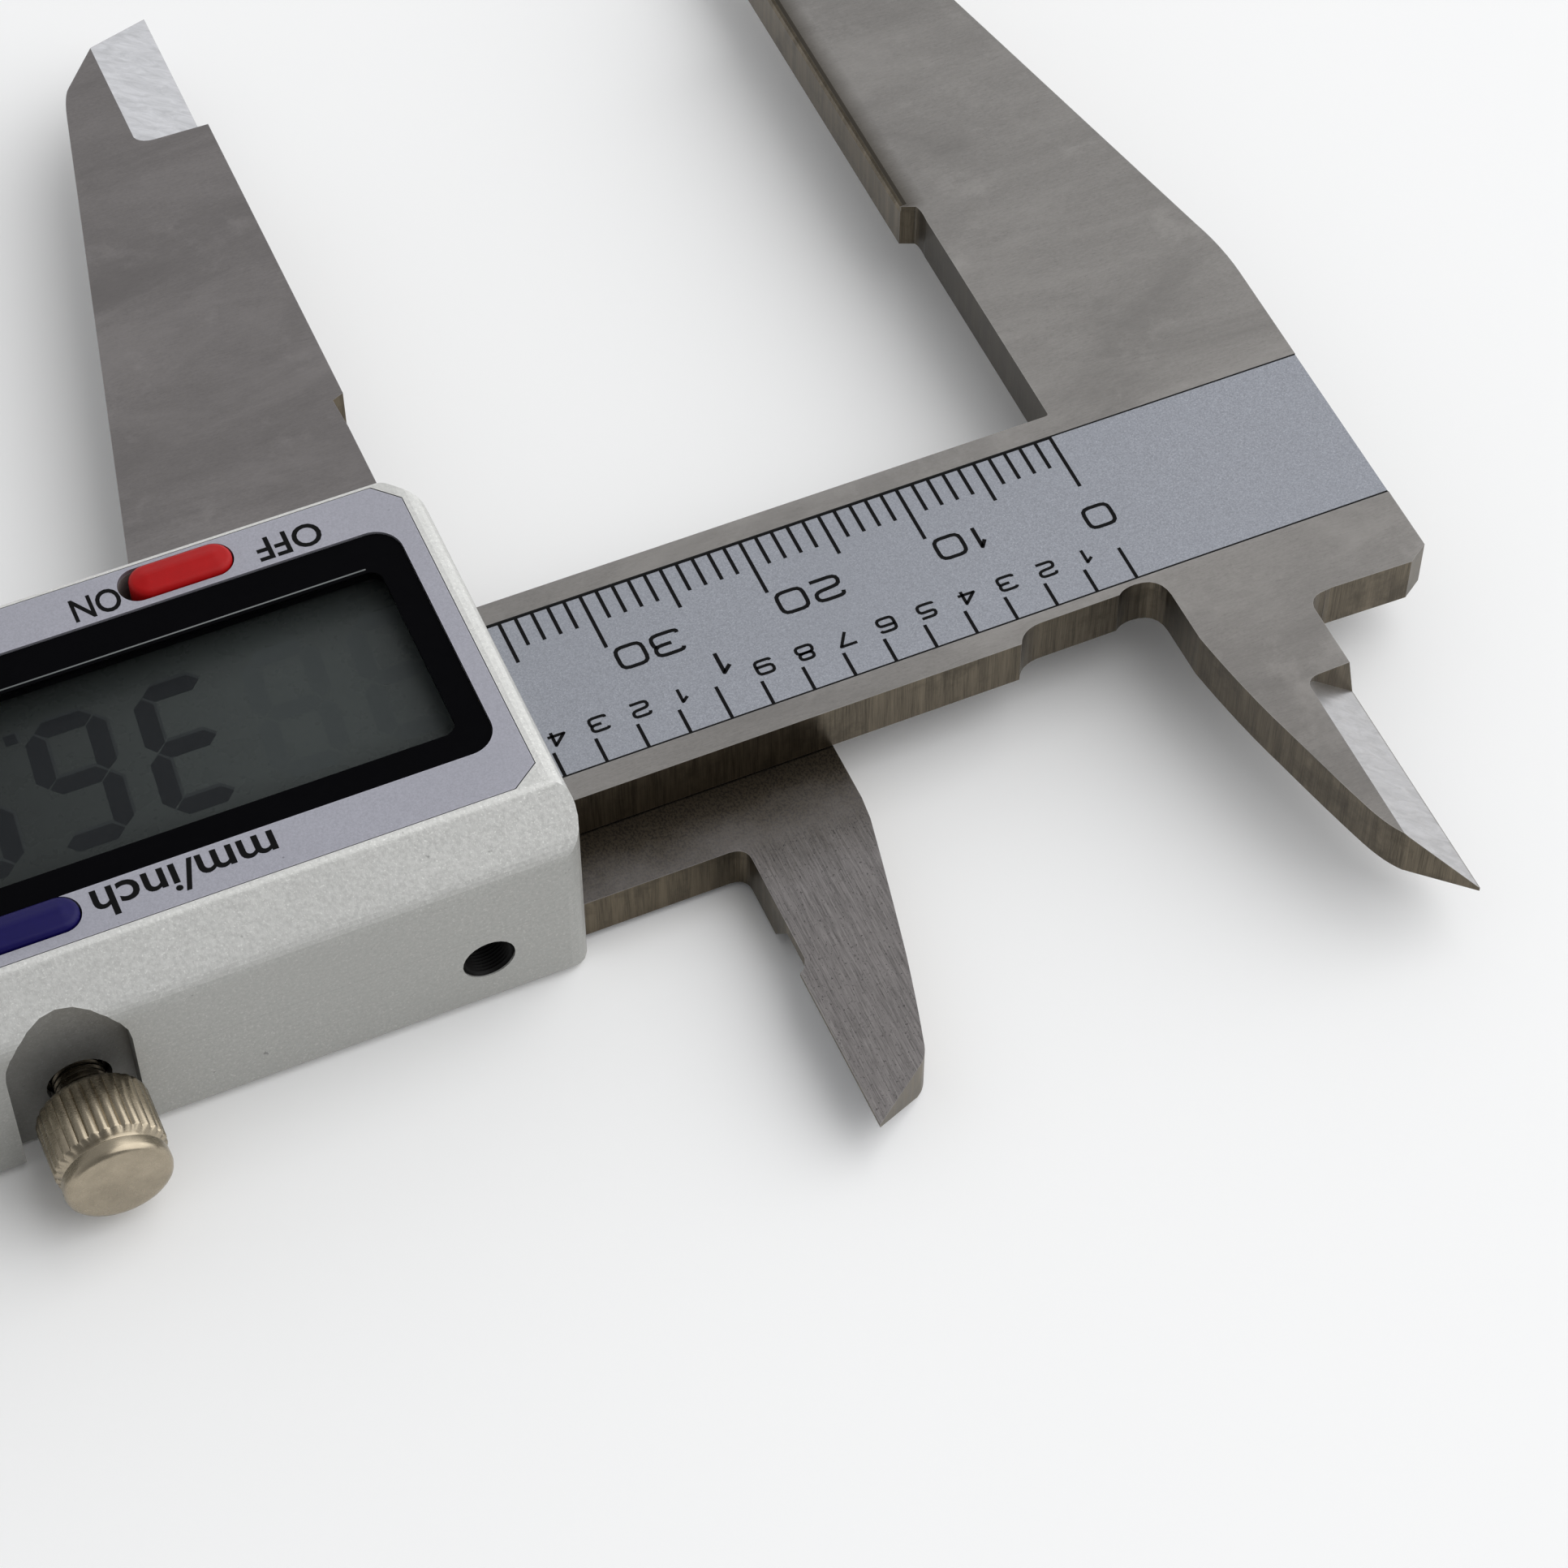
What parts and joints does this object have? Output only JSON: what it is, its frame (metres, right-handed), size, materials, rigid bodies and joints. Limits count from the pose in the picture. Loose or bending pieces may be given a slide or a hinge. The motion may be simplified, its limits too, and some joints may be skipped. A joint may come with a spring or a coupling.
{
  "type": "digital caliper",
  "caption": "Digital caliper with outside and inside jaws, a depth rod, a display on the sliding jaw, a thumb roller and a lock screw.",
  "frame": {"origin": "on the beam's back face and centre line, in the plane of the fixed outside jaw's measuring face", "axes": "+X from the fixed jaws along the beam to its far end, +Y from the outside jaws towards the inside jaws, +Z the display's outward normal"},
  "size_m": [0.3255, 0.0959, 0.0146],
  "materials": {
    "hardened_steel": "satin ground stainless steel with fine brushing",
    "ground_steel": "ground steel",
    "nickel": "bright nickel plate",
    "brass": "satin",
    "scale_film": "silver printed film with fine metallic grain",
    "circuit_board": "solder mask",
    "case_silver": "fine textured silver paint",
    "panel_silver": "smooth satin silver paint",
    "clear_lens": "clear glossy",
    "black_print": "glossy black",
    "display_glass": "grey-green display glass",
    "dark_plastic": "matte black plastic",
    "conductive_rubber": "matte",
    "gold_plate": "gold flash",
    "battery_steel": "nickel-plated can",
    "red_button": "smooth red plastic",
    "blue_button": "smooth dark blue plastic",
    "yellow_button": "smooth yellow plastic"
  },
  "bodies": {
    "beam_body": {"beam": "hardened_steel", "scale_stator": "circuit_board", "scale_label": "scale_film", "end_stop_plate": "ground_steel", "end_stop_screw_1": "nickel", "end_stop_screw_2": "nickel"},
    "slider": {"slider_frame": "hardened_steel", "rear_cover": "ground_steel", "rear_screw_1": "nickel", "rear_screw_2": "nickel", "rear_screw_3": "nickel", "rear_screw_4": "nickel", "depth_rod": "ground_steel", "rod_screw": "nickel", "gib_strip": "brass", "gib_screw_1": "nickel", "gib_screw_2": "nickel", "roller_axle": "nickel", "housing": "case_silver", "face_panel": "panel_silver", "window_lens": "clear_lens", "window_mask": "black_print", "lcd_frame": "dark_plastic", "lcd_glass": "display_glass", "zebra_strip": "conductive_rubber", "main_board": "circuit_board", "chip_blob": "dark_plastic", "crystal": "nickel", "on_off_switch": "conductive_rubber", "zero_switch": "conductive_rubber", "mm_inch_switch": "conductive_rubber", "battery": "battery_steel", "battery_contact_neg": "gold_plate", "battery_contact_pos": "gold_plate"},
    "thumb_roller_body": {"thumb_roller": "ground_steel"},
    "lock_screw_body": {"lock_screw": "nickel"},
    "on_off_button_body": {"on_off_button": "red_button"},
    "zero_button_body": {"zero_button": "yellow_button"},
    "mm_inch_button_body": {"mm_inch_button": "blue_button"},
    "battery_lid_body": {"battery_lid": "case_silver"}
  },
  "joints": [
    {"name": "slider_slide", "type": "slide", "parent": "beam_body", "child": "slider", "axis": [1, 0, 0], "range_m": [-0.0368, 0.1632]},
    {"name": "roller_spin", "type": "hinge", "parent": "slider", "child": "thumb_roller_body", "pos_m": [0.0948, -0.01132, 0.0017], "axis": [0, 0, 1], "continuous": true},
    {"name": "lock_screw_turn", "type": "hinge", "parent": "slider", "child": "lock_screw_body", "pos_m": [0.06615, 0.0166, 0.0006], "axis": [0, 1, 0], "range_deg": [-30, 360]},
    {"name": "on_off_press", "type": "slide", "parent": "slider", "child": "on_off_button_body", "axis": [0, 0, -1], "range_m": [0, 0.00045], "stiffness_N_per_m": 350},
    {"name": "zero_press", "type": "slide", "parent": "slider", "child": "zero_button_body", "axis": [0, 0, -1], "range_m": [0, 0.00045], "stiffness_N_per_m": 350},
    {"name": "mm_inch_press", "type": "slide", "parent": "slider", "child": "mm_inch_button_body", "axis": [0, 0, -1], "range_m": [0, 0.00045], "stiffness_N_per_m": 350},
    {"name": "battery_lid_slide", "type": "slide", "parent": "slider", "child": "battery_lid_body", "axis": [1, 0, 0], "range_m": [0, 0.019]}
  ],
  "couplings": [
    {"joint": "roller_spin", "follows": "slider_slide", "rad_per_m": 263.16}
  ]
}
